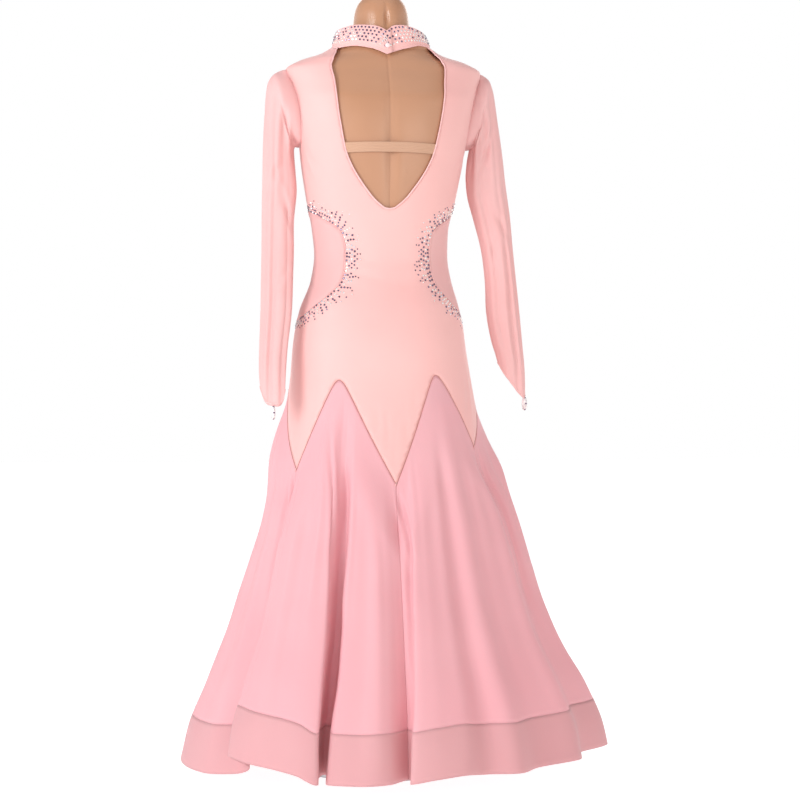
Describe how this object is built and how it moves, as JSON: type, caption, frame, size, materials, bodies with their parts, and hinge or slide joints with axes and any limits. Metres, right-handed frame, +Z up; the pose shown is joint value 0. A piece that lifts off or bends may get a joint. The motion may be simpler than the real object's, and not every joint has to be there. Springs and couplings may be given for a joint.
{
  "type": "ballroom dance dress on a dress form",
  "caption": "Long-sleeved fitted dance dress with a stand collar, open back and flared skirt, worn by a limbless form on a floor stand.",
  "frame": {"origin": "centre of the bounding box, on the floor under the stand's base", "axes": "+Z up; the wearer's front faces -Y and the wearer's left side is +X"},
  "size_m": [0.7813, 0.7215, 1.437],
  "materials": {
    "bodice_jersey": "soft satin jersey",
    "stretch_mesh": "fine matt mesh",
    "skirt_crepe": "matt crepe",
    "hem_crepe": "matt crepe, doubled",
    "nude_elastic": "ribbed elastic",
    "loop_elastic": "fine elastic set with stones",
    "clear_button": "clear, polished",
    "form_cover": "smooth, matt",
    "stand_steel": "satin"
  },
  "bodies": {
    "root": {"front_bodice": "bodice_jersey", "back_bodice": "bodice_jersey", "collar": "bodice_jersey", "waist_inset_left": "stretch_mesh", "waist_inset_right": "stretch_mesh", "sleeve_left": "stretch_mesh", "sleeve_right": "stretch_mesh", "skirt_panel_1": "skirt_crepe", "skirt_panel_2": "skirt_crepe", "skirt_panel_3": "skirt_crepe", "skirt_panel_4": "skirt_crepe", "skirt_panel_5": "skirt_crepe", "hem_band_1": "hem_crepe", "hem_band_2": "hem_crepe", "hem_band_3": "hem_crepe", "hem_band_4": "hem_crepe", "hem_band_5": "hem_crepe", "back_strap": "nude_elastic", "finger_loop_left": "loop_elastic", "finger_loop_right": "loop_elastic", "collar_button": "clear_button", "form_torso": "form_cover", "form_pole": "stand_steel", "form_base": "stand_steel"}
  },
  "joints": []
}
